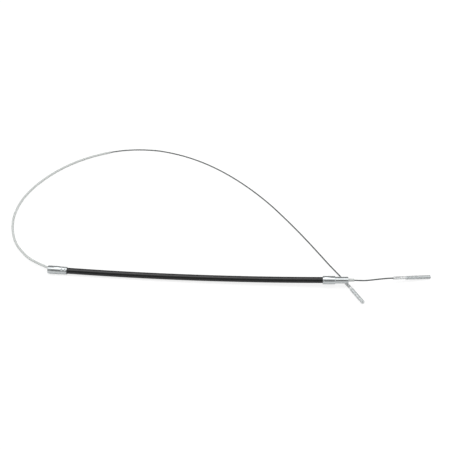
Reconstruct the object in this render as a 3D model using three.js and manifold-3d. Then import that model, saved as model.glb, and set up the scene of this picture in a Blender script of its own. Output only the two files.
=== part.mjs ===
// Clutch cable of a small rear-engined car, lying loose on a table.
//
// A short covered conduit holds one long steel wire. The conduit is built in layers: a nylon liner
// that the wire slides in, a steel winding that takes the push, and a black plastic jacket. A steel
// ferrule closes each end. The pedal ferrule is crimped on and has a flared mouth, and the lever
// ferrule is stepped, so that its shoulder seats in a bracket while the liner runs on past its nose.
// The wire leaves the pedal ferrule, swings back in a wide loop and passes under the lever ferrule.
// A threaded stud is swaged onto each end of the wire.
//
// Lengths are in millimetres. +X runs along the conduit from its pedal end to its lever end, +Y leads
// back to the loop, +Z is up, and the table is at z = 0.

import * as THREE from 'three';
import { mergeVertices } from 'three/addons/utils/BufferGeometryUtils.js';
import Module from 'manifold-3d';

const wasm = await Module();
wasm.setup();

// Gap left between two pieces that touch on the real cable
const seatGap = 0.3;

// Inner wire
const wireDiameter = 2.2;
const wireTravel = 16;
const wireSides = 8;
const wireSteps = 81;

// Layers of the conduit, from the inside out
const wireClearance = 0.7;
const linerWall = 0.5;
const windingWall = 0.9;
const jacketWall = 0.95;

// Run of the conduit between the lips of its ferrules: a shallow bow that hangs between its ends and
// leans towards the front
const conduitSpan = 400;
const conduitBow = 3.5;
const bowLean = THREE.MathUtils.degToRad(39);
const conduitSteps = 20;

// Pedal ferrule
const pedalDiameter = 13;
const pedalLength = 30.5;
const pedalPocketDepth = 13.2;
const pedalWebThickness = 2.2;
const pedalWebHoleDiameter = 4.2;
const pedalMouthDiameter = 10.8;
const pedalEdge = 0.5;
const crimpDiameter = 12.2;
const crimpLength = 11;
const crimpTaper = 1.6;
const crimpFlatDepth = 0.55;
const crimpFlatLength = 3.2;
const crimpRowSpacing = 5;
const crimpJaws = 6;

// Lever ferrule
const leverDiameter = 13;
const leverBarrelLength = 19.5;
const leverPocketDepth = 17.2;
const leverRimWidth = 1.6;
const leverRimGroove = 0.3;
const leverRimGrooveWidth = 0.6;
const leverShoulderChamfer = 0.55;
const leverNoseDiameter = 10.5;
const leverNoseLength = 20;
const leverNoseChamfer = 0.7;
const linerStub = 9;

// Studs: a swaged shank grips the wire, and a threaded rod follows it
const rodDiameter = 6;
const rodChamfer = 0.9;
const shankDiameter = 4.7;
const shankEdge = 0.5;
const shankNeckDiameter = 4.2;
const shankNeckLength = 1;
const shankFlatDepth = 0.35;
const shankLongFlat = 9.5;
const shankShortFlat = 2.6;
const shankFlatMargin = 2.4;
const shankFlatSpacing = 2;
const shankJaws = 4;
const wireGripDepth = 14;
const pedalShankLength = 22;
const pedalRodLength = 33;
const leverShankLength = 20;
const leverRodLength = 42;

// Places on the table
const conduitStart = [-269.5, 4];
const pedalStudStart = [164, 14.4];
const pedalStudHeading = THREE.MathUtils.degToRad(-59.5);
const leverStudStart = [239.7, 17.2];
const leverStudHeading = THREE.MathUtils.degToRad(13.3);
const leverStudDip = THREE.MathUtils.degToRad(6.4);

// Route of the free wire from the lever ferrule's liner to the lever stud
const leverRoute = [
  [186, 5.1, 12.9],
  [195, 5.5, 12.9],
  [204, 7.4, 12.6],
  [217, 11, 12],
];

// Route of the free wire from the pedal ferrule's mouth round the loop to the pedal stud
const loopRoute = [
  [-291.5, 5, 6.6],
  [-299.5, 7.6, 6.6],
  [-307.5, 12.2, 6.2],
  [-316.5, 17.2, 5.7],
  [-327, 23.7, 4.9],
  [-340, 33.8, 3.9],
  [-353.5, 48.3, 3.1],
  [-366, 65, 2.3],
  [-376.5, 86, 1.6],
  [-384, 110, 1.2],
  [-388, 136, 1.15],
  [-387.5, 163, 1.15],
  [-382, 193, 1.15],
  [-370, 224, 1.15],
  [-351, 256, 1.15],
  [-326, 286, 1.15],
  [-294, 312, 1.15],
  [-256, 332, 1.15],
  [-215, 343.5, 1.15],
  [-172, 344.5, 1.15],
  [-130, 334.5, 1.15],
  [-92, 318, 1.15],
  [-55, 295, 1.15],
  [-20, 266.5, 1.15],
  [12, 235, 1.15],
  [43, 199, 1.15],
  [72, 159.5, 1.15],
  [99.5, 119, 1.15],
  [125, 78.5, 1.25],
  [142, 50.5, 1.6],
];

// Radii of the layers and of what fits round them
const wireRadius = wireDiameter / 2;
const linerInner = wireRadius + wireClearance;
const linerOuter = linerInner + linerWall;
const windingInner = linerOuter + seatGap;
const windingOuter = windingInner + windingWall;
const jacketInner = windingOuter + seatGap;
const jacketOuter = jacketInner + jacketWall;
const pocketRadius = jacketOuter + seatGap;

// The conduit's own frame: its chord lies on X and the bow hangs towards -Y
const bowHalfAngle = 2 * Math.atan(2 * conduitBow / conduitSpan);
const bowRadius = conduitSpan / (2 * Math.sin(bowHalfAngle));
const bowLength = 2 * bowRadius * bowHalfAngle;

// Steel, nylon and plastic as they look new
const zincSteel = { color: 0xc4c8c8, roughness: 0.32, metalness: 1 };
const ropeSteel = { color: 0x9da0a0, roughness: 0.38, metalness: 1 };
const springSteel = { color: 0x74787a, roughness: 0.45, metalness: 1 };
const paleNylon = { color: 0xd4d8d6, roughness: 0.4, metalness: 0 };
const blackVinyl = { color: 0x1a1b1c, roughness: 0.42, metalness: 0 };

function namedMesh(name, geometry, finish) {
  const mesh = new THREE.Mesh(geometry, new THREE.MeshStandardMaterial(finish));
  mesh.name = name;
  return mesh;
}

// Point of the conduit's centreline at a distance from the pedal ferrule's lip. The ferrules are
// straight, so the line runs on straight past both lips.
function conduitPoint(distance) {
  const angle = THREE.MathUtils.clamp(distance / bowRadius - bowHalfAngle, -bowHalfAngle, bowHalfAngle);
  const rest = distance - THREE.MathUtils.clamp(distance, 0, bowLength);
  const x = bowRadius * (Math.sin(angle) + Math.sin(bowHalfAngle)) + rest * Math.cos(angle);
  const y = bowRadius * (Math.cos(bowHalfAngle) - Math.cos(angle)) + rest * Math.sin(angle);
  return new THREE.Vector3(x, y, 0);
}

class ConduitStretch extends THREE.Curve {
  constructor(from, to) {
    super();
    this.from = from;
    this.to = to;
  }

  getPoint(t, target = new THREE.Vector3()) {
    return target.copy(conduitPoint(THREE.MathUtils.lerp(this.from, this.to, t)));
  }
}

function circle(radius, sides) {
  const corners = [];
  for (let i = 0; i < sides; i += 1) {
    const angle = 2 * Math.PI * i / sides;
    corners.push(new THREE.Vector2(radius * Math.cos(angle), radius * Math.sin(angle)));
  }
  return corners;
}

// A tube that follows the conduit from one distance to another
function conduitTube(outer, inner, sides, from, to) {
  const ring = new THREE.Shape(circle(outer, sides));
  ring.holes.push(new THREE.Path(circle(inner, sides)));
  return new THREE.ExtrudeGeometry(ring, {
    steps: conduitSteps,
    bevelEnabled: false,
    extrudePath: new ConduitStretch(from, to),
  });
}

// A turned body whose axis is X, from its outline as pairs of distance along X and radius
function turned(outline, segments) {
  const profile = outline.map(([along, radius]) => new THREE.Vector2(radius, along));
  return new THREE.LatheGeometry(profile, segments).rotateZ(-Math.PI / 2);
}

function toSolid(geometry) {
  const bare = geometry.clone();
  bare.deleteAttribute('normal');
  bare.deleteAttribute('uv');
  const merged = mergeVertices(bare, 1e-4);
  return new wasm.Manifold(new wasm.Mesh({
    numProp: 3,
    vertProperties: new Float32Array(merged.attributes.position.array),
    triVerts: new Uint32Array(merged.index.array),
  }));
}

function toGeometry(solid) {
  const mesh = solid.getMesh();
  const geometry = new THREE.BufferGeometry();
  geometry.setAttribute('position', new THREE.BufferAttribute(new Float32Array(mesh.vertProperties), 3));
  geometry.setIndex(new THREE.BufferAttribute(new Uint32Array(mesh.triVerts), 1));
  geometry.computeVertexNormals();
  return geometry;
}

// Flats that a ring of jaws presses into a round body: each leaves a face at the given radius
function pressFlats(solid, jaws, radius, centre, length) {
  const block = 2 * radius;
  for (let i = 0; i < jaws; i += 1) {
    const jaw = new THREE.BoxGeometry(length, block, block);
    jaw.translate(centre, 0, radius + block / 2);
    jaw.rotateX(2 * Math.PI * i / jaws);
    solid = solid.subtract(toSolid(jaw));
  }
  return solid;
}

// Pedal ferrule, from its lip at x = 0 to its flared mouth at negative x
function pedalFerrule() {
  const radius = pedalDiameter / 2;
  const crimpRadius = crimpDiameter / 2;
  const web = -pedalPocketDepth - pedalWebThickness;
  const outline = [
    [0, pocketRadius],
    [-pedalPocketDepth, pocketRadius],
    [-pedalPocketDepth, pedalWebHoleDiameter / 2],
    [web, pedalWebHoleDiameter / 2],
    [-pedalLength, pedalMouthDiameter / 2],
    [-pedalLength, radius - pedalEdge],
    [-pedalLength + pedalEdge, radius],
    [-crimpLength - crimpTaper, radius],
    [-crimpLength, crimpRadius],
    [-pedalEdge, crimpRadius],
    [0, crimpRadius - pedalEdge],
    [0, pocketRadius],
  ];
  let solid = toSolid(turned(outline, 48));
  const flatRadius = crimpRadius - crimpFlatDepth;
  for (const row of [-0.5, 0.5]) {
    const centre = -crimpLength / 2 + row * crimpRowSpacing;
    solid = pressFlats(solid, crimpJaws, flatRadius, centre, crimpFlatLength);
  }
  return namedMesh('pedal_ferrule', toGeometry(solid), zincSteel);
}

// Lever ferrule, from its lip at x = 0 to the end of its nose
function leverFerrule() {
  const radius = leverDiameter / 2;
  const nose = leverNoseDiameter / 2;
  const end = leverBarrelLength + leverNoseLength;
  const linerHole = linerOuter + seatGap;
  const groove = radius - leverRimGroove;
  const outline = [
    [0, pocketRadius],
    [0, radius - leverRimGroove],
    [leverRimGroove, radius],
    [leverRimWidth, radius],
    [leverRimWidth, groove],
    [leverRimWidth + leverRimGrooveWidth, groove],
    [leverRimWidth + leverRimGrooveWidth, radius],
    [leverBarrelLength - 2 * leverShoulderChamfer, radius],
    [leverBarrelLength, radius - leverShoulderChamfer],
    [leverBarrelLength, nose],
    [end - leverNoseChamfer, nose],
    [end, nose - leverNoseChamfer],
    [end, linerHole],
    [leverPocketDepth, linerHole],
    [leverPocketDepth, pocketRadius],
    [0, pocketRadius],
  ];
  return namedMesh('lever_ferrule', turned(outline, 48), zincSteel);
}

// Stud from the shank's mouth at x = 0 to the rod's end
function stud(name, shankLength, rodLength) {
  const rod = rodDiameter / 2;
  const shank = shankDiameter / 2;
  const neck = shankNeckDiameter / 2;
  const bore = wireRadius + seatGap;
  const length = shankLength + rodLength;
  const outline = [
    [wireGripDepth, 0],
    [wireGripDepth, bore],
    [0, bore],
    [0, shank - shankEdge],
    [shankEdge, shank],
    [shankLength - shankNeckLength - shankEdge, shank],
    [shankLength - shankNeckLength, neck],
    [shankLength, neck],
    [shankLength + rod - neck, rod],
    [length - rodChamfer, rod],
    [length, rod - rodChamfer],
    [length, 0],
  ];
  const flatRadius = shank - shankFlatDepth;
  const shortStart = shankFlatMargin + shankLongFlat + shankFlatSpacing;
  let solid = toSolid(turned(outline, 32));
  solid = pressFlats(solid, shankJaws, flatRadius, shankFlatMargin + shankLongFlat / 2, shankLongFlat);
  solid = pressFlats(solid, shankJaws, flatRadius, shortStart + shankShortFlat / 2, shankShortFlat);
  return namedMesh(name, toGeometry(solid), zincSteel);
}

// Lowers or lifts an object until its lowest point is on the table
function restOnTable(object, touching = object) {
  object.updateMatrixWorld(true);
  object.position.z -= new THREE.Box3().setFromObject(touching, true).min.z;
  object.updateMatrixWorld(true);
}

// The conduit with its ferrules, bowed and propped up so that the wire can pass under the lever end
function conduitAssembly() {
  const layersStart = -pedalPocketDepth + seatGap;
  const layersEnd = bowLength + leverPocketDepth - seatGap;
  const linerEnd = bowLength + leverBarrelLength + leverNoseLength + linerStub;
  const pedal = pedalFerrule();
  pedal.rotation.z = -bowHalfAngle;
  const lever = leverFerrule();
  lever.position.copy(conduitPoint(bowLength));
  lever.rotation.z = bowHalfAngle;
  const jacket = conduitTube(jacketOuter, jacketInner, 24, layersStart, layersEnd);
  const winding = conduitTube(windingOuter, windingInner, 16, layersStart, layersEnd);
  const liner = conduitTube(linerOuter, linerInner, 16, layersStart, linerEnd);

  // The barrel of the lever ferrule clears the shank and the wire that pass under it
  const leverHeight = rodDiameter / 2 + shankDiameter / 2 + leverDiameter / 2 - seatGap;
  const rise = Math.asin((leverHeight - pedalDiameter / 2) / conduitSpan);
  const group = new THREE.Group();
  group.add(
    pedal,
    namedMesh('jacket', jacket, blackVinyl),
    namedMesh('conduit_winding', winding, springSteel),
    namedMesh('liner', liner, paleNylon),
    lever,
  );
  group.position.set(conduitStart[0], conduitStart[1], 0);
  group.rotation.set(bowLean, -rise, 0, 'YXZ');
  restOnTable(group, pedal);
  return { group, linerEnd };
}

function placedStud(name, shankLength, rodLength, start, heading, dip) {
  const mesh = stud(name, shankLength, rodLength);
  mesh.position.set(start[0], start[1], 0);
  mesh.rotation.set(0, dip, heading, 'ZYX');
  restOnTable(mesh);
  return mesh;
}

// Points on a stud's axis: the wire's end in the bore, the shank's mouth and a short straight lead
function studAxisPoints(mesh) {
  const distances = [wireGripDepth - seatGap, 0, -3 * wireDiameter];
  return distances.map((distance) => mesh.localToWorld(new THREE.Vector3(distance, 0, 0)));
}

// The wire's line in the conduit is the conduit's own line moved on by half the travel, so that the
// wire runs as near to the liner's middle as it can over its whole stroke
function wireInConduit(group, linerEnd) {
  const first = -pedalPocketDepth + seatGap - wireTravel / 2;
  const last = linerEnd - wireTravel / 2;
  const points = [];
  const stretches = 10;
  for (let i = 0; i <= stretches; i += 1) {
    const point = conduitPoint(THREE.MathUtils.lerp(last, first, i / stretches));
    points.push(group.localToWorld(point).add(new THREE.Vector3(wireTravel / 2, 0, 0)));
  }
  return points;
}

function innerWire(conduit, pedalStud, leverStud) {
  const toVectors = (points) => points.map((point) => new THREE.Vector3(...point));
  const route = [
    ...studAxisPoints(leverStud),
    ...toVectors(leverRoute).reverse(),
    ...wireInConduit(conduit.group, conduit.linerEnd),
    ...toVectors(loopRoute),
    ...studAxisPoints(pedalStud).reverse(),
  ];
  const section = new THREE.Shape(circle(wireRadius, wireSides));
  const geometry = new THREE.ExtrudeGeometry(section, {
    steps: wireSteps,
    bevelEnabled: false,
    extrudePath: new THREE.CatmullRomCurve3(route, false, 'centripetal'),
  });
  return namedMesh('inner_wire', geometry, ropeSteel);
}

function clutchCable() {
  const conduit = conduitAssembly();
  const pedalStud = placedStud(
    'pedal_stud', pedalShankLength, pedalRodLength, pedalStudStart, pedalStudHeading, 0,
  );
  const leverStud = placedStud(
    'lever_stud', leverShankLength, leverRodLength, leverStudStart, leverStudHeading, leverStudDip,
  );
  const rigid = new THREE.Group();
  rigid.add(conduit.group, pedalStud, leverStud);

  // The origin is on the table, in the middle of the conduit and the studs
  const middle = new THREE.Box3().setFromObject(rigid, true).getCenter(new THREE.Vector3());
  const cable = new THREE.Group();
  cable.add(rigid, innerWire(conduit, pedalStud, leverStud));
  cable.position.set(-middle.x, -middle.y, 0);
  return cable;
}

export default clutchCable();
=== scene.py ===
# %% [markdown]
# # A clutch cable lying loose on a white table
#
# The cable is a black covered conduit with a steel ferrule on each end, and one long strand of
# steel wire that slides through it and carries a threaded stud on each end. About half of the open
# loop of wire wears a loose pale sleeve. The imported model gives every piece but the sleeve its
# place and its size. This lesson builds the surfaces that the eye sees round it: the laid wires of
# the strand, the rolled threads, the crimps, and the finish of each material.
#
# The numbers are in millimetres, as on a drawing, and MM turns them into Blender's metres.

import math

import bmesh
import bpy
import numpy as np
from mathutils import Matrix, Vector


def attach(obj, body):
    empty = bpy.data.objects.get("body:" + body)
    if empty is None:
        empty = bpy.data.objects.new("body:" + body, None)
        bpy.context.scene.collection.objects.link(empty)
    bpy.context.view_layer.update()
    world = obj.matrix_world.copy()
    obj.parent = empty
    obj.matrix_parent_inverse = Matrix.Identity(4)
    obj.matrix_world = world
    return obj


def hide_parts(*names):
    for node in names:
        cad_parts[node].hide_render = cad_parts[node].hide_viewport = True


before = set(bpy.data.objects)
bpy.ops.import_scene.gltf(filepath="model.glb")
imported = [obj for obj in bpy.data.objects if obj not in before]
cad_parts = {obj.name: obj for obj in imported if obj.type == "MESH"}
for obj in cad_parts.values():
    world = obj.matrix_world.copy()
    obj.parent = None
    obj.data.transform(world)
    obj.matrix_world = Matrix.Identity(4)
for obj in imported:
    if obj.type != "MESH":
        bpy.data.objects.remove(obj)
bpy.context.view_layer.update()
MM = 0.001
print("CAD nodes:", sorted(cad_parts))

# %% [markdown]
# ## Camera
#
# A camera can be placed by eye, or worked out from the shapes in the picture. Here the wide loop
# of wire and the bands of light on the round ferrules agree on a camera that looks down by 40
# degrees. From 1.5 m away the cable shows almost no perspective, so a long lens is right.

# %% Set the camera
CAMERA_PLACE = Vector((46.5, -1006.6, 963.9)) * MM
CAMERA_TARGET = Vector((-30.0, 139.9, -0.3)) * MM
CAMERA_LENS = 71.43

camera_data = bpy.data.cameras.new("photo_camera")
camera_data.sensor_width = 36.0
camera_data.lens = CAMERA_LENS
camera_data.clip_end = 50.0
camera = bpy.data.objects.new("photo_camera", camera_data)
bpy.context.scene.collection.objects.link(camera)
camera.location = CAMERA_PLACE
camera.rotation_mode = "QUATERNION"
camera.rotation_quaternion = (CAMERA_TARGET - CAMERA_PLACE).to_track_quat("-Z", "Y")
bpy.context.scene.camera = camera
print("camera distance", round((CAMERA_TARGET - CAMERA_PLACE).length, 3), "m")

# %% [markdown]
# ## Where the pieces lie
#
# The conduit is a shallow arc that leans forward and rises a little towards its lever end. A few
# numbers say all of that, so the ferrules, the jacket and the wire share one function, and nothing
# has to be placed twice. The studs are placed by the point where the wire enters them, by their
# heading and by their dip.

# %% Conduit line and stud places
CONDUIT_START = Vector((-269.517, 3.984, 6.379))
CONDUIT_SPAN = 400.0
CONDUIT_BOW = 3.5
LEVER_LIFT = 5.05
BOW_LEAN = math.radians(39)
CONDUIT_RISE = math.asin(LEVER_LIFT / CONDUIT_SPAN)
BOW_HALF_ANGLE = 2 * math.atan(2 * CONDUIT_BOW / CONDUIT_SPAN)
BOW_RADIUS = CONDUIT_SPAN / (2 * math.sin(BOW_HALF_ANGLE))
BOW_LENGTH = 2 * BOW_RADIUS * BOW_HALF_ANGLE

# Lengths along the conduit. Distances on it start at the pedal ferrule's lip.
PEDAL_LENGTH, PEDAL_POCKET = 30.5, 13.2
LEVER_BARREL, LEVER_POCKET, NOSE_LENGTH = 19.5, 17.2, 20.0
LINER_STUB, SEAT_GAP = 9.0, 0.3
JACKET_START, JACKET_END = -PEDAL_POCKET + SEAT_GAP, BOW_LENGTH + LEVER_POCKET - SEAT_GAP
LINER_START, LINER_END = JACKET_START, BOW_LENGTH + LEVER_BARREL + NOSE_LENGTH + LINER_STUB

conduit_place = (
    Matrix.Translation(CONDUIT_START)
    @ Matrix.Rotation(-CONDUIT_RISE, 4, "Y")
    @ Matrix.Rotation(BOW_LEAN, 4, "X")
)


def conduit_point(distance):
    """Point of the conduit's middle line, measured from the pedal ferrule's lip."""
    on_arc = min(max(distance, 0.0), BOW_LENGTH)
    angle = on_arc / BOW_RADIUS - BOW_HALF_ANGLE
    beyond = distance - on_arc
    x = BOW_RADIUS * (math.sin(angle) + math.sin(BOW_HALF_ANGLE)) + beyond * math.cos(angle)
    y = BOW_RADIUS * (math.cos(BOW_HALF_ANGLE) - math.cos(angle)) + beyond * math.sin(angle)
    return conduit_place @ Vector((x, y, 0.0))


def stud_place(entry, heading, dip):
    """Matrix of a stud that starts at entry and points along its heading."""
    aim = Matrix.Rotation(math.radians(heading), 4, "Z")
    lean = Matrix.Rotation(math.radians(dip), 4, "Y")
    return Matrix.Translation(entry) @ aim @ lean


pedal_ferrule_place = conduit_place @ Matrix.Rotation(-BOW_HALF_ANGLE, 4, "Z")
lever_ferrule_place = (
    Matrix.Translation(conduit_point(BOW_LENGTH) - CONDUIT_START)
    @ conduit_place
    @ Matrix.Rotation(BOW_HALF_ANGLE, 4, "Z")
)
pedal_stud_place = stud_place((163.983, 14.384, 3.0), heading=-59.5, dip=0.0)
lever_stud_place = stud_place((239.683, 17.184, 9.792), heading=13.3, dip=6.4)
print("conduit is", round(BOW_LENGTH, 1), "mm between its ferrules' lips")

# %% [markdown]
# ## Small helpers
#
# Colours are written as on a paint chart, in sRGB, and Blender wants them linear, so one function
# turns them. One more adds a node with its settings and links, and one starts a material. The last
# one hangs a finished mesh on the body that carries it, names the CAD node that it stands for, and
# shades it smooth between its real edges.

# %% Colour, node, material and piece
SHARP_ANGLE = math.radians(34)


def colour(hex_code):
    """An sRGB hex colour as the linear colour that Blender's sockets take."""
    parts = [int(hex_code[i : i + 2], 16) / 255 for i in (1, 3, 5)]
    linear = [p / 12.92 if p <= 0.04045 else ((p + 0.055) / 1.055) ** 2.4 for p in parts]
    return (*linear, 1.0)


def add_node(tree, kind, inputs=(), **settings):
    """Adds a node. Each input is a value, or the output socket that feeds it."""
    node = tree.nodes.new(kind)
    for name, value in settings.items():
        setattr(node, name, value)
    for name, value in dict(inputs).items():
        if isinstance(value, bpy.types.NodeSocket):
            tree.links.new(value, node.inputs[name])
        else:
            node.inputs[name].default_value = value
    return node


def new_material(name):
    """An empty material with its node tree and its Principled shader."""
    material = bpy.data.materials.new(name)
    material.use_nodes = True
    tree = material.node_tree
    return material, tree, tree.nodes["Principled BSDF"]


def add_piece(name, mesh, material, body, node=None):
    """Makes a finished mesh a piece that rides on a body and may stand for a CAD node."""
    mesh.materials.clear()
    mesh.materials.append(material)
    mesh.shade_smooth()
    mesh.set_sharp_from_angle(angle=SHARP_ANGLE)
    piece = bpy.data.objects.new(name, mesh)
    bpy.context.scene.collection.objects.link(piece)
    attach(piece, body)
    if node:
        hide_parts(node)
    print(name, "has", sum(len(p.vertices) - 2 for p in mesh.polygons), "triangles")
    return piece


# %% [markdown]
# ## Finishes
#
# Every metal that shows is steel under a thin coat of zinc, so all of them are fully metallic and
# keep the default IOR. What tells them apart is how each was shaped: the ferrules were turned, the
# strand was drawn and laid, and the studs were swaged and rolled. A turned surface has fine rings
# round its axis. They could be carved into the mesh, but they are a few hundredths deep, so a
# noise that is squeezed along the axis and read as bump does it with no geometry.

# %% Bright zinc plate on turned steel
# Real turning marks are about 0.1 mm apart. These are 0.45 mm apart, which is as coarse as they
# need to be to show from near by.
RINGS_PER_METRE = 2200.0

# Thin electroplated zinc, a slightly blue white, with soft rings and faint clouding from the bath
zinc_plate, tree, shader = new_material("zinc_plated_turned_steel")
place = add_node(tree, "ShaderNodeTexCoord").outputs["Object"]
squeezed = add_node(
    tree, "ShaderNodeMapping", {"Vector": place, "Scale": (RINGS_PER_METRE, 60.0, 60.0)}
)
rings = add_node(
    tree, "ShaderNodeTexNoise", {"Vector": squeezed.outputs[0], "Scale": 1.0, "Detail": 2.0}
)
clouds = add_node(
    tree, "ShaderNodeTexNoise", {"Vector": place, "Scale": 160.0, "Detail": 3.0, "Roughness": 0.55}
)
tint = add_node(
    tree,
    "ShaderNodeMix",
    {"Factor": clouds.outputs["Fac"], "A": colour("#C3C8CA"), "B": colour("#D3D7D7")},
    data_type="RGBA",
)
dulling = add_node(
    tree,
    "ShaderNodeMapRange",
    {
        "Value": clouds.outputs["Fac"],
        "From Min": 0.3,
        "From Max": 0.7,
        "To Min": 0.17,
        "To Max": 0.24,
    },
)
bump = add_node(
    tree, "ShaderNodeBump", {"Height": rings.outputs["Fac"], "Strength": 0.05, "Distance": 0.00003}
)
shader.inputs["Metallic"].default_value = 1.0
tree.links.new(tint.outputs["Result"], shader.inputs["Base Color"])
tree.links.new(dulling.outputs["Result"], shader.inputs["Roughness"])
tree.links.new(bump.outputs["Normal"], shader.inputs["Normal"])
print("finish:", zinc_plate.name)

# %% [markdown]
# The strand and the studs have hollows that gather shade: the valleys between the laid wires, the
# roots of the thread and the pressed marks of the swage. Each mesh carries an attribute called
# hollow, 0 on the tops and 1 at the bottom, and the finish darkens by it. That stays right when
# the piece moves, and it costs no extra light bounces.

# %% Galvanised strand and swaged studs
def steel_with_painted_hollow_shade(name, top, bottom, roughness, grain):
    """Zinc-coated steel whose colour falls from top to bottom in its hollows, as painted shade."""
    material, tree, shader = new_material(name)
    hollow = add_node(tree, "ShaderNodeAttribute", attribute_name="hollow").outputs["Fac"]
    place = add_node(tree, "ShaderNodeTexCoord").outputs["Object"]
    patches = add_node(
        tree, "ShaderNodeTexNoise", {"Vector": place, "Scale": grain, "Detail": 3.0}
    ).outputs["Fac"]
    # Painted shade: the colour falls to the bottom one where the hollow attribute is deep
    painted_hollow_shade = add_node(
        tree,
        "ShaderNodeMix",
        {"Factor": hollow, "A": colour(top), "B": colour(bottom)},
        data_type="RGBA",
    )
    worn = add_node(
        tree,
        "ShaderNodeMapRange",
        {"Value": patches, "To Min": roughness - 0.07, "To Max": roughness + 0.07},
    )
    shader.inputs["Metallic"].default_value = 1.0
    tree.links.new(painted_hollow_shade.outputs["Result"], shader.inputs["Base Color"])
    tree.links.new(worn.outputs["Result"], shader.inputs["Roughness"])
    print("finish:", name)
    return material


# Galvanised wire, a little greasy: mid grey with a soft sheen, and painted shade in the valleys
# between the laid wires
strand_steel = steel_with_painted_hollow_shade("galvanised_strand_wire", "#868A8A", "#383B3C", 0.34, 300.0)
# Zinc over rolled thread and pressed shank: far paler than the wire, with a little painted shade in
# its roots and pressed marks
stud_steel = steel_with_painted_hollow_shade("zinc_plated_rolled_thread", "#EAECEC", "#D2D6D7", 0.28, 400.0)

# %% [markdown]
# The jacket is extruded soft vinyl. The die leaves faint streaks along it, and handling leaves a
# dull bloom, so the gloss wanders. The streaks are a noise that is stretched along the conduit.

# %% Black vinyl
# Plasticised vinyl with carbon black: near black, semi-gloss, with drawn streaks
black_vinyl, tree, shader = new_material("extruded_black_vinyl")
place = add_node(tree, "ShaderNodeTexCoord").outputs["Object"]
drawn = add_node(tree, "ShaderNodeMapping", {"Vector": place, "Scale": (45.0, 700.0, 700.0)})
streaks = add_node(
    tree, "ShaderNodeTexNoise", {"Vector": drawn.outputs[0], "Scale": 1.0, "Detail": 3.0}
)
bloom = add_node(
    tree, "ShaderNodeTexNoise", {"Vector": place, "Scale": 90.0, "Detail": 4.0, "Roughness": 0.6}
)
dusty = add_node(
    tree,
    "ShaderNodeMix",
    {"Factor": bloom.outputs["Fac"], "A": colour("#0D0E0F"), "B": colour("#161718")},
    data_type="RGBA",
)
gloss = add_node(
    tree,
    "ShaderNodeMapRange",
    {
        "Value": streaks.outputs["Fac"],
        "From Min": 0.25,
        "From Max": 0.75,
        "To Min": 0.22,
        "To Max": 0.34,
    },
)
bump = add_node(
    tree, "ShaderNodeBump", {"Height": streaks.outputs["Fac"], "Strength": 0.35, "Distance": 0.0002}
)
tree.links.new(dusty.outputs["Result"], shader.inputs["Base Color"])
tree.links.new(gloss.outputs["Result"], shader.inputs["Roughness"])
tree.links.new(bump.outputs["Normal"], shader.inputs["Normal"])
print("finish:", black_vinyl.name)

# %% [markdown]
# The liner and the sleeve are natural nylon, milky and waxy. A little light enters the surface and
# comes out again close by, which softens the shade on so thin a tube. A volume inside the wall
# would be truer, but at this size it only adds noise.

# %% Natural nylon and spring steel
def waxy_nylon(name, dark, light):
    """Extruded natural nylon: milky, waxy, and it lets a little light in."""
    material, tree, shader = new_material(name)
    place = add_node(tree, "ShaderNodeTexCoord").outputs["Object"]
    haze = add_node(tree, "ShaderNodeTexNoise", {"Vector": place, "Scale": 250.0, "Detail": 2.0})
    milk = add_node(
        tree,
        "ShaderNodeMix",
        {"Factor": haze.outputs["Fac"], "A": colour(dark), "B": colour(light)},
        data_type="RGBA",
    )
    tree.links.new(milk.outputs["Result"], shader.inputs["Base Color"])
    shader.inputs["Roughness"].default_value = 0.36
    shader.inputs["Subsurface Weight"].default_value = 0.2
    shader.inputs["Subsurface Scale"].default_value = 0.001
    shader.inputs["Subsurface Radius"].default_value = (1.0, 1.0, 1.0)
    return material


# Both are greyed a little by the steel wire inside, which shows through the milky wall
liner_nylon = waxy_nylon("waxy_natural_nylon", "#C0C4C2", "#CED1CF")
sleeve_nylon = waxy_nylon("waxy_nylon_over_steel_strand", "#C4C8C6", "#D2D5D3")

# Hard drawn spring wire with a film of oil: dark grey, hidden by the jacket in the whole cable
winding_steel, tree, shader = new_material("oiled_spring_steel")
place = add_node(tree, "ShaderNodeTexCoord").outputs["Object"]
film = add_node(tree, "ShaderNodeTexNoise", {"Vector": place, "Scale": 350.0, "Detail": 3.0})
oiled = add_node(
    tree,
    "ShaderNodeMix",
    {"Factor": film.outputs["Fac"], "A": colour("#5C5F61"), "B": colour("#7C8082")},
    data_type="RGBA",
)
tree.links.new(oiled.outputs["Result"], shader.inputs["Base Color"])
shader.inputs["Metallic"].default_value = 1.0
shader.inputs["Roughness"].default_value = 0.4
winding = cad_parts["conduit_winding"]
winding.data.materials.clear()
winding.data.materials.append(winding_steel)
print("finishes:", liner_nylon.name, sleeve_nylon.name, winding_steel.name)

# %% [markdown]
# ## Line of the wire
#
# The wire is one length of strand, 1.56 m from its end in the lever stud, through the conduit and
# round the open loop, to its end in the pedal stud. It is stiff, so its curve changes slowly. A few
# dozen points carry the route, and a Catmull-Rom curve goes through all of them without a kink.
# Its centripetal form is used because it never loops back where points are close together.

# %% Route of the wire
WIRE_TRAVEL = 16.0
# How far the wire reaches into a stud, and where a point before the stud keeps it straight
WIRE_GRIP, WIRE_LEAD = 13.7, -6.6
INSIDE_POINTS = 11

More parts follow.
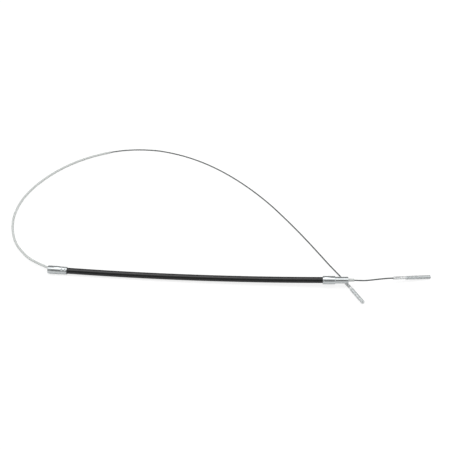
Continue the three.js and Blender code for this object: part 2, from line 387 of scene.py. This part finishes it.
# The free points are written as on the drawing, and this moves them to the middle of the frame
CENTRING = Vector((-0.017, -0.016, 0.0))
LEVER_ROUTE = [(217, 11, 12), (204, 7.4, 12.6), (195, 5.5, 12.9), (186, 5.1, 12.9)]
LOOP_ROUTE = [
    (-291.5, 5, 6.6), (-299.5, 7.6, 6.6), (-307.5, 12.2, 6.2), (-316.5, 17.2, 5.7),
    (-327, 23.7, 4.9), (-340, 33.8, 3.9), (-353.5, 48.3, 3.1), (-366, 65, 2.3),
    (-376.5, 86, 1.6), (-384, 110, 1.2), (-388, 136, 1.15), (-387.5, 163, 1.15),
    (-382, 193, 1.15), (-370, 224, 1.15), (-351, 256, 1.15), (-326, 286, 1.15),
    (-294, 312, 1.15), (-256, 332, 1.15), (-215, 343.5, 1.15), (-172, 344.5, 1.15),
    (-130, 334.5, 1.15), (-92, 318, 1.15), (-55, 295, 1.15), (-20, 266.5, 1.15),
    (12, 235, 1.15), (43, 199, 1.15), (72, 159.5, 1.15), (99.5, 119, 1.15),
    (125, 78.5, 1.25), (142, 50.5, 1.6),
]

# Inside the conduit the wire keeps to its line, moved on by half the travel
first, last = LINER_END - WIRE_TRAVEL / 2, LINER_START - WIRE_TRAVEL / 2
inside = [
    conduit_point(distance) + Vector((WIRE_TRAVEL / 2, 0.0, 0.0))
    for distance in np.linspace(first, last, INSIDE_POINTS)
]
route = [lever_stud_place @ Vector((x, 0.0, 0.0)) for x in (WIRE_GRIP, 0.0, WIRE_LEAD)]
route += [Vector(p) + CENTRING for p in LEVER_ROUTE]
route += inside
route += [Vector(p) + CENTRING for p in LOOP_ROUTE]
route += [pedal_stud_place @ Vector((x, 0.0, 0.0)) for x in (WIRE_LEAD, 0.0, WIRE_GRIP)]
print("the route has", len(route), "points")


# %% A smooth line through the route
def smooth_line(points, pieces=60):
    """Points of the centripetal Catmull-Rom curve through the given ones."""
    p = np.array([2 * points[0] - points[1], *points, 2 * points[-1] - points[-2]])
    knot = np.linalg.norm(np.diff(p, axis=0), axis=1) ** 0.5
    line = [p[1]]
    for i in range(1, len(p) - 2):
        before, here, after = knot[i - 1 : i + 2]
        step = p[i + 1] - p[i]
        leave = (p[i] - p[i - 1]) / before - (p[i + 1] - p[i - 1]) / (before + here) + step / here
        meet = step / here - (p[i + 2] - p[i]) / (here + after) + (p[i + 2] - p[i + 1]) / after
        for t in np.linspace(0, 1, pieces + 1)[1:]:
            a, b = (2 * t**3 - 3 * t**2 + 1), (t**3 - 2 * t**2 + t)
            c, d = (3 * t**2 - 2 * t**3), (t**3 - t**2)
            line.append(a * p[i] + b * leave * here + c * p[i + 1] + d * meet * here)
    return np.array(line)


def distances(line):
    """How far along a line each of its points is."""
    return np.concatenate([[0.0], np.cumsum(np.linalg.norm(np.diff(line, axis=0), axis=1))])


def along(line, at):
    """Points of a line at the given distances."""
    return np.stack([np.interp(at, distances(line), line[:, k]) for k in range(3)], axis=1)


def nearest(line, point):
    """Distance along the line of its point that is nearest to the given one."""
    return distances(line)[np.linalg.norm(line - np.array(point), axis=1).argmin()]


wire_line = smooth_line([np.array(p) for p in route])
print("the line through the route has", len(wire_line), "points")

# %% [markdown]
# The wire's first stretch out of the pedal ferrule runs in a loose nylon sleeve, which is thicker
# than the wire and lies on the table itself. So the wire runs a little higher in it and comes down
# past its end. The route could be written with other heights, but lifting the finished line keeps
# the route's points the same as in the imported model.

# %% Lift the wire in its sleeve
SLEEVE_RADIUS, SLEEVE_WALL, SLEEVE_INSET, SLEEVE_FALL = 2.0, 0.45, 2.0, 70.0
SLEEVE_LAST = (-256.6, 333.5, 1.15)
TABLE_GAP = 0.05

sleeve_start = nearest(wire_line, conduit_point(SLEEVE_INSET - PEDAL_LENGTH))
sleeve_end = nearest(wire_line, SLEEVE_LAST)
past_end = (distances(wire_line) - sleeve_end) / SLEEVE_FALL
held = np.where(distances(wire_line) < sleeve_start, 0.0, 1 - np.clip(past_end, 0, 1))
held = held**2 * (3 - 2 * held)
wire_line[:, 2] += held * np.clip(SLEEVE_RADIUS + TABLE_GAP - wire_line[:, 2], 0.0, None)
wire_length = distances(wire_line)[-1]
sleeve_length = sleeve_end - sleeve_start
print("the wire is", round(wire_length, 1), "mm long, its sleeve", round(sleeve_length, 1))

# %% [markdown]
# ## The strand
#
# The real wire is a 1 x 19 strand: a core, six wires round it, and twelve more laid round those in
# a long right-hand twist. Each could be its own helix, but eighteen of them never show. What shows
# is the lobed outline of the outer twelve, so one lobed section is swept along the line and
# turned as it goes. A Blender curve does both: its bevel object is the section, and each point's
# tilt is the twist. The curve is then made a mesh, so that the hollows can be marked on it. Inside
# the conduit nobody sees it, so the rings are further apart there and the twist rests.

# %% Sweep a section along a line
def swept(name, line, section, tilt=None):
    """An open-ended skin that carries a closed section, in millimetres, along a line."""
    outline = bpy.data.curves.new(name + "_section", "CURVE")
    outline.dimensions = "2D"
    ring = outline.splines.new("POLY")
    ring.points.add(len(section) - 1)
    ring.points.foreach_set("co", [c for x, y in section for c in (x * MM, y * MM, 0.0, 1.0)])
    ring.use_cyclic_u = True
    section_object = bpy.data.objects.new(name + "_section", outline)

    path = bpy.data.curves.new(name + "_path", "CURVE")
    path.dimensions = "3D"
    path.twist_mode = "MINIMUM"
    spline = path.splines.new("POLY")
    spline.points.add(len(line) - 1)
    spline.points.foreach_set("co", [c for p in line for c in (*(p * MM), 1.0)])
    if tilt is not None:
        spline.points.foreach_set("tilt", tilt)
    path.bevel_mode = "OBJECT"
    path.bevel_object = section_object
    path_object = bpy.data.objects.new(name + "_path", path)

    for made in (path_object, section_object):
        bpy.context.scene.collection.objects.link(made)
    shown = path_object.evaluated_get(bpy.context.evaluated_depsgraph_get())
    mesh = bpy.data.meshes.new_from_object(shown)
    mesh.name = name
    for made in (path_object, section_object):
        bpy.data.objects.remove(made)
    bpy.data.curves.remove(path)
    bpy.data.curves.remove(outline)
    return mesh


def close_ends(mesh):
    """Fills the two open ends of a skin and turns its faces outwards."""
    bm = bmesh.new()
    bm.from_mesh(mesh)
    bmesh.ops.holes_fill(bm, edges=bm.edges[:], sides=0)
    bmesh.ops.recalc_face_normals(bm, faces=bm.faces[:])
    bm.to_mesh(mesh)
    bm.free()


# %% [markdown]
# Four points draw one lobe: its crown, its two flanks, and the valley before the next. Twelve of
# them make the section. A round section with a bump map would be cheaper, but its outline would
# stay smooth just where the eye looks for the laid wires.

# %% The inner wire
WIRE_DIAMETER = 2.2
OUTER_WIRES = 12
LAY_LENGTH = 18.0
RING_STEP = 0.9
HIDDEN_STEP = 6.0
PAST_LINER_END, PAST_MOUTH = 6.0, 10.0

# Angle within one lobe, radius and depth of hollow of the four points that draw it
# The depth of hollow darkens the strand's finish: painted shade in the valleys
LOBE = [(0.0, WIRE_DIAMETER / 2, 0.0), (9.4, 1.035, 0.3), (15.0, 0.87, 1.0), (20.6, 1.035, 0.3)]
strand_section, strand_hollow = [], []
for lobe in range(OUTER_WIRES):
    for turn, radius, depth in LOBE:
        angle = math.radians(lobe * 360 / OUTER_WIRES + turn)
        strand_section.append((radius * math.cos(angle), radius * math.sin(angle)))
        strand_hollow.append(depth)

# The twist goes on inside the conduit as far as the travel can bring it out, and a little further
into_liner = nearest(wire_line, conduit_point(LINER_END)) + WIRE_TRAVEL + PAST_LINER_END
into_mouth = nearest(wire_line, conduit_point(-PEDAL_LENGTH)) - WIRE_TRAVEL - PAST_MOUTH
stations = np.concatenate([
    np.linspace(0.0, into_liner, round(into_liner / RING_STEP)),
    np.linspace(into_liner, into_mouth, round((into_mouth - into_liner) / HIDDEN_STEP))[1:-1],
    np.linspace(into_mouth, wire_length, round((wire_length - into_mouth) / RING_STEP)),
])
shown = np.where((stations[1:] <= into_liner) | (stations[:-1] >= into_mouth), 1.0, 0.0)
twist = np.concatenate([[0.0], np.cumsum(np.diff(stations) * shown)]) * 2 * math.pi / LAY_LENGTH
wire_rings = along(wire_line, stations)
wire_mesh = swept("inner_wire_strand", wire_rings, strand_section, twist)
hollow = wire_mesh.attributes.new("hollow", "FLOAT", "POINT")
hollow.data.foreach_set("value", np.tile(strand_hollow, len(stations)).astype(np.float32))
close_ends(wire_mesh)
inner_wire = add_piece(
    "inner_wire_strand", wire_mesh, strand_steel, "wire", "inner_wire"
)
print(len(stations), "rings,", len(wire_mesh.vertices), "points in the strand")

# %% [markdown]
# ## Turned and pressed bodies
#
# Ferrules and shanks are turned on a lathe, and bmesh has the same tool: an outline is spun round
# the axis. A jaw then presses flats into the round body. A boolean cut would leave knife edges, so
# the points under a jaw are moved in instead, and the edge of the jaw fades over a few tenths.

# %% Lathe, jaws and edges
# Outlines that go under a jaw have points this close together
PRESS_STEP = 0.25
# How much a fully pressed mark counts as a hollow, which the stud finish darkens as painted shade
PRESS_SHADE = 0.35


def stepped(start, end, step):
    """Outline points from one to the other, both left out, about step apart."""
    count = max(1, round(math.dist(start, end) / step))
    return [
        (start[0] + (end[0] - start[0]) * i / count, start[1] + (end[1] - start[1]) * i / count)
        for i in range(1, count)
    ]


def turned(outline, sides):
    """A closed outline of distance and radius, spun round the X axis."""
    bm = bmesh.new()
    corners = [bm.verts.new((x * MM, 0.0, r * MM)) for x, r in outline]
    edges = [bm.edges.new(pair) for pair in zip(corners, corners[1:] + corners[:1])]
    bmesh.ops.spin(
        bm, geom=corners + edges, cent=(0, 0, 0), axis=(1, 0, 0), angle=2 * math.pi,
        steps=sides, use_merge=True,
    )
    bmesh.ops.remove_doubles(bm, verts=bm.verts[:], dist=1e-7)
    bmesh.ops.recalc_face_normals(bm, faces=bm.faces[:])
    return bm


def press(bm, jaws, flat_radius, body_radius, centre, length, fade=0.35):
    """Presses a ring of flats into the outside of a body that lies on the X axis."""
    layer = bm.verts.layers.float.get("hollow") or bm.verts.layers.float.new("hollow")
    for vert in bm.verts:
        x, y, z = vert.co / MM
        radius = math.hypot(y, z)
        edge = (length / 2 - abs(x - centre)) / fade
        if edge <= 0 or radius < flat_radius or radius > body_radius + 0.05:
            continue
        turn = (math.atan2(y, z) * jaws / (2 * math.pi)) % 1.0
        off = (turn - round(turn)) * 2 * math.pi / jaws
        depth = max(0.0, radius - flat_radius / math.cos(off))
        share = min(edge, 1.0) ** 2 * (3 - 2 * min(edge, 1.0))
        scale = 1 - depth * share / radius
        vert.co.y *= scale
        vert.co.z *= scale
        # The mark's depth goes into hollow, which the stud finish turns into painted shade; the
        # ferrule's finish does not read it
        vert[layer] = max(vert[layer], PRESS_SHADE * share * depth / (body_radius - flat_radius))


def round_edges(bm, width, sharper_than=28, segments=2):
    """Bevels every edge that turns by more than an angle."""
    limit = math.radians(sharper_than)
    edges = [e for e in bm.edges if e.is_manifold and e.calc_face_angle() > limit]
    bmesh.ops.bevel(
        bm, geom=edges, offset=width * MM, offset_type="OFFSET", segments=segments,
        profile=0.5, affect="EDGES", material=-1, clamp_overlap=True,
    )


def to_mesh(bm, name, place):
    """Puts a body in its place and gives back its mesh, in metres."""
    in_metres = Matrix.Translation(place.translation * MM) @ place.to_3x3().to_4x4()
    bmesh.ops.transform(bm, matrix=in_metres, verts=bm.verts[:])
    mesh = bpy.data.meshes.new(name)
    bm.to_mesh(mesh)
    bm.free()
    return mesh


# %% [markdown]
# ## Pedal ferrule
#
# A short steel cap. Its lip is crimped down on the jacket by two rings of six jaws, and its other
# end flares out inside like a trumpet, so that the wire can leave at an angle without a sharp
# corner to rub on. The flare is close to a quarter of an ellipse in the outline.

# %% Pedal ferrule
FERRULE_SIDES = 96
PEDAL_RADIUS, PEDAL_WEB, PEDAL_HOLE, PEDAL_MOUTH = 6.5, 2.2, 2.1, 5.4
FLARE_STEPS, FLARE_SHARE = 12, 0.55
CRIMP_RADIUS, CRIMP_LENGTH, CRIMP_TAPER, CRIMP_DEPTH = 6.1, 11.0, 1.6, 0.55
JAWS, JAW_LENGTH, JAW_OFFSET = 6, 3.2, 2.5
POCKET_RADIUS, LIP_RADIUS, LIP_SLOPE = 5.05, 4.82, 0.8
PEDAL_LIP, LEVER_LIP = 1.4, 1.0
# A corner is rounded over the first number, through a point that the second puts in from both sides
CORNER, CORNER_MIDDLE = 0.5, 0.15
EASING = 0.06

web = -PEDAL_POCKET - PEDAL_WEB
flare = []
for i in range(FLARE_STEPS + 1):
    t = math.pi / 2 * i / FLARE_STEPS
    opening = FLARE_SHARE * math.sin(t) + (1 - FLARE_SHARE) * (1 - math.cos(t))
    radius = PEDAL_HOLE + (PEDAL_MOUTH - PEDAL_HOLE) * opening
    flare.append((web + (-PEDAL_LENGTH - web) * math.sin(t), radius))
crimped = (-CRIMP_LENGTH, CRIMP_RADIUS), (-CORNER, CRIMP_RADIUS)
pedal_outline = [
    (0.0, LIP_RADIUS), (-PEDAL_LIP, LIP_RADIUS), (-PEDAL_LIP - LIP_SLOPE, POCKET_RADIUS),
    (-PEDAL_POCKET, POCKET_RADIUS), (-PEDAL_POCKET, PEDAL_HOLE), *flare,
    (-PEDAL_LENGTH, PEDAL_RADIUS - CORNER),
    (-PEDAL_LENGTH + CORNER_MIDDLE, PEDAL_RADIUS - CORNER_MIDDLE),
    (-PEDAL_LENGTH + CORNER, PEDAL_RADIUS), (-CRIMP_LENGTH - CRIMP_TAPER, PEDAL_RADIUS),
    (-CRIMP_LENGTH - 0.7 * CRIMP_TAPER, PEDAL_RADIUS - EASING),
    (-CRIMP_LENGTH - 0.3 * CRIMP_TAPER, CRIMP_RADIUS + EASING),
    crimped[0], *stepped(*crimped, PRESS_STEP), crimped[1],
    (-CORNER_MIDDLE, CRIMP_RADIUS - CORNER_MIDDLE), (0.0, CRIMP_RADIUS - CORNER),
]
bm = turned(pedal_outline, FERRULE_SIDES)
for row in (-JAW_OFFSET, JAW_OFFSET):
    centre = -CRIMP_LENGTH / 2 + row
    press(bm, JAWS, CRIMP_RADIUS - CRIMP_DEPTH, CRIMP_RADIUS, centre, JAW_LENGTH)
add_piece(
    "pedal_ferrule_crimped", to_mesh(bm, "pedal_ferrule_crimped", pedal_ferrule_place),
    zinc_plate, "conduit", "pedal_ferrule",
)

# %% [markdown]
# ## Lever ferrule
#
# This one is stepped: a barrel with a raised rim at the lip, a chamfered shoulder that seats in
# the bracket, and a slimmer nose. Its other edges are cut, so a narrow bevel on every corner is all
# that they need to catch the light as turned steel does.

# %% Lever ferrule
LEVER_RADIUS = 6.5
RIM_WIDTH, RIM_GROOVE, RIM_GROOVE_WIDTH, SHOULDER = 1.6, 0.3, 0.6, 0.55
NOSE_RADIUS, NOSE_CHAMFER = 5.25, 0.7
LINER_HOLE = 2.42
EDGE_BEVEL = 0.09
BEAD_POINTS = 11

# The rim is rolled into a low bead, half an ellipse in the outline, which shows as a pale ring
bead = [
    (RIM_WIDTH / 2 * (1 - math.cos(t)), LEVER_RADIUS - RIM_GROOVE * (1 - math.sin(t)))
    for t in np.radians(np.linspace(0, 180, BEAD_POINTS))
]
nose_end = LEVER_BARREL + NOSE_LENGTH
lever_outline = [
    (0.0, LIP_RADIUS), *bead,
    (RIM_WIDTH + RIM_GROOVE_WIDTH, LEVER_RADIUS - RIM_GROOVE),
    (RIM_WIDTH + RIM_GROOVE_WIDTH, LEVER_RADIUS),
    (LEVER_BARREL - 2 * SHOULDER, LEVER_RADIUS), (LEVER_BARREL, LEVER_RADIUS - SHOULDER),
    (LEVER_BARREL, NOSE_RADIUS), (nose_end - NOSE_CHAMFER, NOSE_RADIUS),
    (nose_end, NOSE_RADIUS - NOSE_CHAMFER), (nose_end, LINER_HOLE),
    (LEVER_POCKET, LINER_HOLE), (LEVER_POCKET, POCKET_RADIUS),
    (LEVER_LIP + LIP_SLOPE, POCKET_RADIUS), (LEVER_LIP, LIP_RADIUS),
]
bm = turned(lever_outline, FERRULE_SIDES)
round_edges(bm, EDGE_BEVEL)
add_piece(
    "lever_ferrule_stepped", to_mesh(bm, "lever_ferrule_stepped", lever_ferrule_place),
    zinc_plate, "conduit", "lever_ferrule",
)

# %% [markdown]
# ## Jacket and liner
#
# Both are extruded tubes. A circle swept along the conduit's line gives the outside, and a solidify
# gives the wall, measured inwards from the true outer size.

# %% Jacket and liner
JACKET_RADIUS, JACKET_WALL, JACKET_SIDES, JACKET_STEP = 4.75, 0.95, 48, 3.0
LINER_RADIUS, LINER_WALL, LINER_SIDES, LINER_STEP = 2.3, 0.5, 40, 4.0


def tube(name, outer, wall, sides, line):
    """A tube with its outer radius and its wall along a line."""
    circle = [
        (outer * math.cos(2 * math.pi * i / sides), outer * math.sin(2 * math.pi * i / sides))
        for i in range(sides)
    ]
    mesh = swept(name, line, circle)
    bm = bmesh.new()
    bm.from_mesh(mesh)
    bmesh.ops.recalc_face_normals(bm, faces=bm.faces[:])
    bmesh.ops.solidify(bm, geom=bm.faces[:], thickness=wall * MM)
    bmesh.ops.recalc_face_normals(bm, faces=bm.faces[:])
    bm.to_mesh(mesh)
    bm.free()
    return mesh


def conduit_stretch(start, end, step):
    """Points of the conduit's line from one distance to another."""
    places = np.linspace(start, end, round((end - start) / step))
    return np.array([conduit_point(distance) for distance in places])


jacket_line = conduit_stretch(JACKET_START, JACKET_END, JACKET_STEP)
jacket_mesh = tube("jacket_extruded", JACKET_RADIUS, JACKET_WALL, JACKET_SIDES, jacket_line)
add_piece("jacket_extruded", jacket_mesh, black_vinyl, "conduit", "jacket")
liner_line = conduit_stretch(LINER_START, LINER_END, LINER_STEP)
liner_mesh = tube("liner_tube", LINER_RADIUS, LINER_WALL, LINER_SIDES, liner_line)
add_piece("liner_tube", liner_mesh, liner_nylon, "conduit", "liner")

# %% [markdown]
# ## Wire sleeve
#
# The sleeve ends about half way round the loop, and it shows as a pale line that is nearly twice as
# wide as the bare strand. It follows the wire's own line, so the same tube function makes it. A
# thicker wire mesh would look much the same from afar, but it would have no open end and no wall.

# %% Wire sleeve
SLEEVE_SIDES, SLEEVE_STEP = 24, 2.0

sleeve_stations = np.linspace(sleeve_start, sleeve_end, round(sleeve_length / SLEEVE_STEP))
sleeve_line = along(wire_line, sleeve_stations)
sleeve_mesh = tube("wire_sleeve", SLEEVE_RADIUS, SLEEVE_WALL, SLEEVE_SIDES, sleeve_line)
wire_sleeve = add_piece("wire_sleeve", sleeve_mesh, sleeve_nylon, "wire")

# %% [markdown]
# ## Threaded studs
#
# The rod has an M6 thread: 1 mm pitch, flanks at 60 degrees, 0.61 mm deep. One tooth's outline,
# spun with a shift of one pitch a turn, draws the whole thread as one true helix. Both ends
# are then cut square, and a cone presses the last turns down, as the chamfer and the runout do on a
# rolled thread. The edge that is left at the thread's start is extruded ring by ring into the
# neck, the shank and the bore that grips the wire, so each stud is one closed skin.

# %% A stud
PITCH, CREST, ROOT = 1.0, 3.0, 2.387
TOOTH = [(0.0, ROOT), (0.083, ROOT), (0.437, CREST), (0.563, CREST), (0.917, ROOT), (1.0, ROOT)]
THREAD_SIDES = 40
ROD_CHAMFER = 0.9
SHANK, NECK, BORE, GRIP = 2.35, 2.1, 1.13, 14.0
LONG_MARK, SHORT_MARK, MARK_MARGIN, MARK_GAP, MARK_DEPTH = 9.5, 2.6, 2.4, 2.0, 0.35
SHANK_JAWS = 4


def thread(start, end):
    """The thread's skin between two distances along X, with coned ends and open circles."""
    bm = bmesh.new()
    turns = round((end - start) / PITCH) + 2
    corners = [bm.verts.new(((x + start - PITCH) * MM, 0.0, r * MM)) for x, r in TOOTH]
    edges = [bm.edges.new(pair) for pair in zip(corners, corners[1:])]
    bmesh.ops.spin(
        bm, geom=corners + edges, cent=(0, 0, 0), axis=(1, 0, 0), angle=2 * math.pi * turns,
        steps=THREAD_SIDES * turns, dvec=(PITCH * MM / THREAD_SIDES, 0, 0), use_merge=False,
    )
    bmesh.ops.remove_doubles(bm, verts=bm.verts[:], dist=1e-6)
    for cut, side in ((start, -1), (end, 1)):
        bmesh.ops.bisect_plane(
            bm, geom=bm.verts[:] + bm.edges[:] + bm.faces[:], dist=1e-7,
            plane_co=(cut * MM, 0, 0), plane_no=(side, 0, 0), clear_outer=True,
        )
    # Roots get a hollow of 1 and crests 0, which the stud finish darkens as painted shade
    layer = bm.verts.layers.float.new("hollow")
    for vert in bm.verts:
        x, y, z = vert.co / MM
        radius = math.hypot(y, z)
        vert[layer] = min(1.0, max(0.0, (CREST - radius) / (CREST - ROOT)))
        cone = min(radius, NECK + x - start, CREST - ROD_CHAMFER + end - x)
        vert.co.y *= cone / radius
        vert.co.z *= cone / radius
    return bm


def open_rim(bm, x):
    """Edges of the open rim that lies in the plane at x."""
    return [
        edge
        for edge in bm.edges
        if edge.is_boundary and all(abs(vert.co.x / MM - x) < 0.01 for vert in edge.verts)
    ]


def carry_rim(bm, rim, outline):
    """Extrudes an open rim through rings of the given distance and radius."""
    layer = bm.verts.layers.float["hollow"]
    for x, radius in outline:
        grown = bmesh.ops.extrude_edge_only(bm, edges=rim)["geom"]
        rim = [g for g in grown if isinstance(g, bmesh.types.BMEdge)]
        for vert in {v for e in rim for v in e.verts}:
            scale = radius * MM / math.hypot(vert.co.y, vert.co.z)
            vert.co = (x * MM, vert.co.y * scale, vert.co.z * scale)
            vert[layer] = 0.0
    return rim


def stud(name, place, shank_length, rod_length):
    """A swaged stud with its shank's mouth at its place's origin."""
    end = shank_length + rod_length
    bm = thread(shank_length, end)
    bmesh.ops.contextual_create(bm, geom=open_rim(bm, end))
    # From the neck over a small fillet to the shank, round the mouth's corner and into the bore
    shank_top, shank_foot = (shank_length - 1.5, SHANK), (0.5, SHANK)
    shank_outline = [
        (shank_length - 1.0, NECK), (shank_length - 1.15, NECK + 0.04),
        (shank_length - 1.4, SHANK - 0.06), shank_top, *stepped(shank_top, shank_foot, PRESS_STEP),
        shank_foot, (0.2, SHANK - 0.1), (0.05, SHANK - 0.28), (0.0, SHANK - 0.45),
        (0.0, BORE + 0.15), (0.12, BORE), (GRIP, BORE),
    ]
    rim = carry_rim(bm, open_rim(bm, shank_length), shank_outline)
    bmesh.ops.contextual_create(bm, geom=rim)
    press(bm, SHANK_JAWS, SHANK - MARK_DEPTH, SHANK, MARK_MARGIN + LONG_MARK / 2, LONG_MARK)
    short = MARK_MARGIN + LONG_MARK + MARK_GAP + SHORT_MARK / 2
    press(bm, SHANK_JAWS, SHANK - MARK_DEPTH, SHANK, short, SHORT_MARK)
    bmesh.ops.recalc_face_normals(bm, faces=bm.faces[:])
    open_edges = sum(not e.is_manifold for e in bm.edges)
    print(name, "open edges:", open_edges, "volume", round(bm.calc_volume() * 1e6, 3), "cm3")
    return to_mesh(bm, name, place)


pedal_stud = add_piece(
    "pedal_stud_threaded",
    stud("pedal_stud_threaded", pedal_stud_place, shank_length=22.0, rod_length=33.0),
    stud_steel, "wire", "pedal_stud",
)
lever_stud = add_piece(
    "lever_stud_threaded",
    stud("lever_stud_threaded", lever_stud_place, shank_length=20.0, rod_length=42.0),
    stud_steel, "wire", "lever_stud",
)

# %% [markdown]
# ## The wire as a cord
#
# The wire is a free cord of its true length and diameter, and it leaves the lever stud. The studs
# and the sleeve ride on its body, and this prints its length.

print("cord of", round(wire_length * MM, 3), "m")

# %% [markdown]
# ## Table
#
# A cable like this is photographed on seamless white paper. The paper can be blown out with light,
# but then the metal would be blown out too. Instead the paper only looks brighter to the camera,
# and what lights the cable stays plain.

# %% White table
TABLE_SIZE = 4.0
# Just under the pieces, so that no two faces share a plane
TABLE_DROP = 0.0002

bm = bmesh.new()
bmesh.ops.create_grid(bm, x_segments=1, y_segments=1, size=TABLE_SIZE)
table_mesh = bpy.data.meshes.new("table")
bm.to_mesh(table_mesh)
bm.free()
table = bpy.data.objects.new("table", table_mesh)
bpy.context.scene.collection.objects.link(table)
table.location.z = -TABLE_DROP

# Matt white paper. To the camera it is lit from within as well, so that it stays pure white and
# its shadows stay faint.
paper, tree, shader = new_material("seamless_white_paper")
tree.nodes.remove(shader)
seen = add_node(tree, "ShaderNodeLightPath").outputs["Is Camera Ray"]
matt = add_node(tree, "ShaderNodeBsdfDiffuse", {"Color": colour("#E8E8E8")})
white = add_node(tree, "ShaderNodeBsdfDiffuse", {"Color": colour("#8C8C8C")})
glow = add_node(tree, "ShaderNodeEmission", {"Strength": 0.8})
bright = add_node(tree, "ShaderNodeAddShader")
tree.links.new(white.outputs[0], bright.inputs[0])
tree.links.new(glow.outputs[0], bright.inputs[1])
chosen = add_node(tree, "ShaderNodeMixShader", {"Fac": seen})
tree.links.new(matt.outputs[0], chosen.inputs[1])
tree.links.new(bright.outputs[0], chosen.inputs[2])
tree.links.new(chosen.outputs[0], tree.nodes["Material Output"].inputs["Surface"])
table_mesh.materials.append(paper)
print("table", 2 * TABLE_SIZE, "m wide")

# %% [markdown]
# ## Light
#
# Round metal shows its whole surroundings as bands, so the surroundings matter more than the one
# large soft lamp: bright overhead, dark behind the camera, and pale again low down at the back.
# Panels of light could stand round the cable, but one ramp over the angle is easier to set.

# %% Surroundings and lamp
# Brightness of the surroundings by the angle up from the front horizon, over the top and down
# to the back horizon
BANDS = [(-180, 0.6), (-20, 0.6), (-5, 0.25), (20, 0.22), (42, 0.26), (56, 0.55), (67, 1.3),
         (79, 2.2), (92, 2.2), (102, 1.0), (112, 0.42), (132, 0.3), (150, 0.3), (168, 0.4),
         (180, 0.6)]
BRIGHTEST = max(level for _, level in BANDS)
SIDE_LEVEL, SIDE_FROM, SIDE_TO = 0.95, 0.5, 0.85

world = bpy.data.worlds.new("studio")
bpy.context.scene.world = world
world.use_nodes = True
tree = world.node_tree
tree.nodes.clear()
facing = add_node(tree, "ShaderNodeTexCoord").outputs["Generated"]
split = add_node(tree, "ShaderNodeSeparateXYZ", {"Vector": facing})
front = add_node(tree, "ShaderNodeMath", operation="MULTIPLY")
tree.links.new(split.outputs["Y"], front.inputs[0])
front.inputs[1].default_value = -1.0
angle = add_node(tree, "ShaderNodeMath", operation="ARCTAN2")
tree.links.new(split.outputs["Z"], angle.inputs[0])
tree.links.new(front.outputs[0], angle.inputs[1])
share = add_node(
    tree, "ShaderNodeMapRange",
    {"Value": angle.outputs[0], "From Min": -math.pi, "From Max": math.pi},
)
ramp = add_node(tree, "ShaderNodeValToRGB", {"Fac": share.outputs["Result"]})
stops = ramp.color_ramp.elements
stops[0].position, stops[1].position = 0.0, 1.0
for degrees, _ in BANDS[1:-1]:
    stops.new((degrees + 180) / 360)
for stop, (_, level) in zip(stops, BANDS):
    stop.color = (*[level / BRIGHTEST] * 3, 1.0)
lit = add_node(
    tree, "ShaderNodeBackground", {"Color": ramp.outputs["Color"], "Strength": BRIGHTEST}
)
# Left and right of the cable the room is evenly pale, which lights the flanks of the threads
sideways = add_node(tree, "ShaderNodeMath", operation="ABSOLUTE")
tree.links.new(split.outputs["X"], sideways.inputs[0])
to_side = add_node(
    tree,
    "ShaderNodeMapRange",
    {"Value": sideways.outputs[0], "From Min": SIDE_FROM, "From Max": SIDE_TO},
)
side = add_node(tree, "ShaderNodeBackground", {"Color": (1, 1, 1, 1), "Strength": SIDE_LEVEL})
around = add_node(tree, "ShaderNodeMixShader", {"Fac": to_side.outputs["Result"]})
tree.links.new(lit.outputs[0], around.inputs[1])
tree.links.new(side.outputs[0], around.inputs[2])
# The camera itself sees plain white past the table's edge
plain = add_node(tree, "ShaderNodeBackground", {"Color": (1, 1, 1, 1), "Strength": 1.0})
seen = add_node(tree, "ShaderNodeLightPath").outputs["Is Camera Ray"]
chosen = add_node(tree, "ShaderNodeMixShader", {"Fac": seen})
tree.links.new(around.outputs[0], chosen.inputs[1])
tree.links.new(plain.outputs[0], chosen.inputs[2])
output = add_node(tree, "ShaderNodeOutputWorld")
tree.links.new(chosen.outputs[0], output.inputs["Surface"])

LAMP_PLACE = Vector((-0.25, 0.35, 1.5))
LAMP_SIZE, LAMP_POWER = 1.1, 4.0

lamp_data = bpy.data.lights.new("soft_lamp", "AREA")
lamp_data.shape = "DISK"
lamp_data.size = LAMP_SIZE
lamp_data.energy = LAMP_POWER
lamp = bpy.data.objects.new("soft_lamp", lamp_data)
bpy.context.scene.collection.objects.link(lamp)
lamp.location = LAMP_PLACE
lamp.rotation_mode = "QUATERNION"
lamp.rotation_quaternion = (-LAMP_PLACE).to_track_quat("-Z", "Y")
bpy.context.scene.view_settings.view_transform = "Standard"
print("bands:", len(stops), "lamp", LAMP_POWER, "W")
